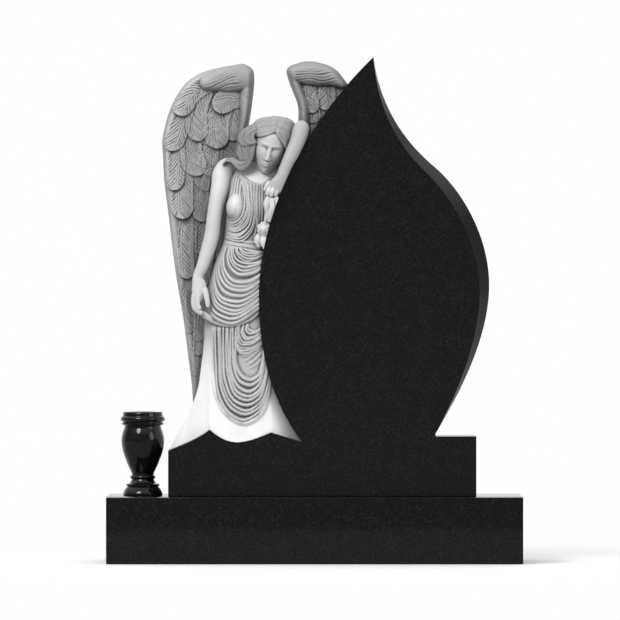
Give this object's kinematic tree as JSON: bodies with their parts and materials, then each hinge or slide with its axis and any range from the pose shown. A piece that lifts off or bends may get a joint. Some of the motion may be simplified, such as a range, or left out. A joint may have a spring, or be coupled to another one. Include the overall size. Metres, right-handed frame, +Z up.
{
  "type": "headstone",
  "caption": "Upright flame-shaped granite headstone on a base slab, with a carved winged figure leaning against its side and a turned flower vase.",
  "frame": {"origin": "middle of the base slab's underside", "axes": "+Z up, -Y towards the carved front, +X towards the tablet's free side"},
  "size_m": [1.25, 0.36, 1.5223],
  "materials": {
    "granite": "polished",
    "marble": "honed"
  },
  "bodies": {
    "root": {"base": "granite", "tablet": "granite", "vase": "granite", "angel": "marble"}
  },
  "joints": []
}
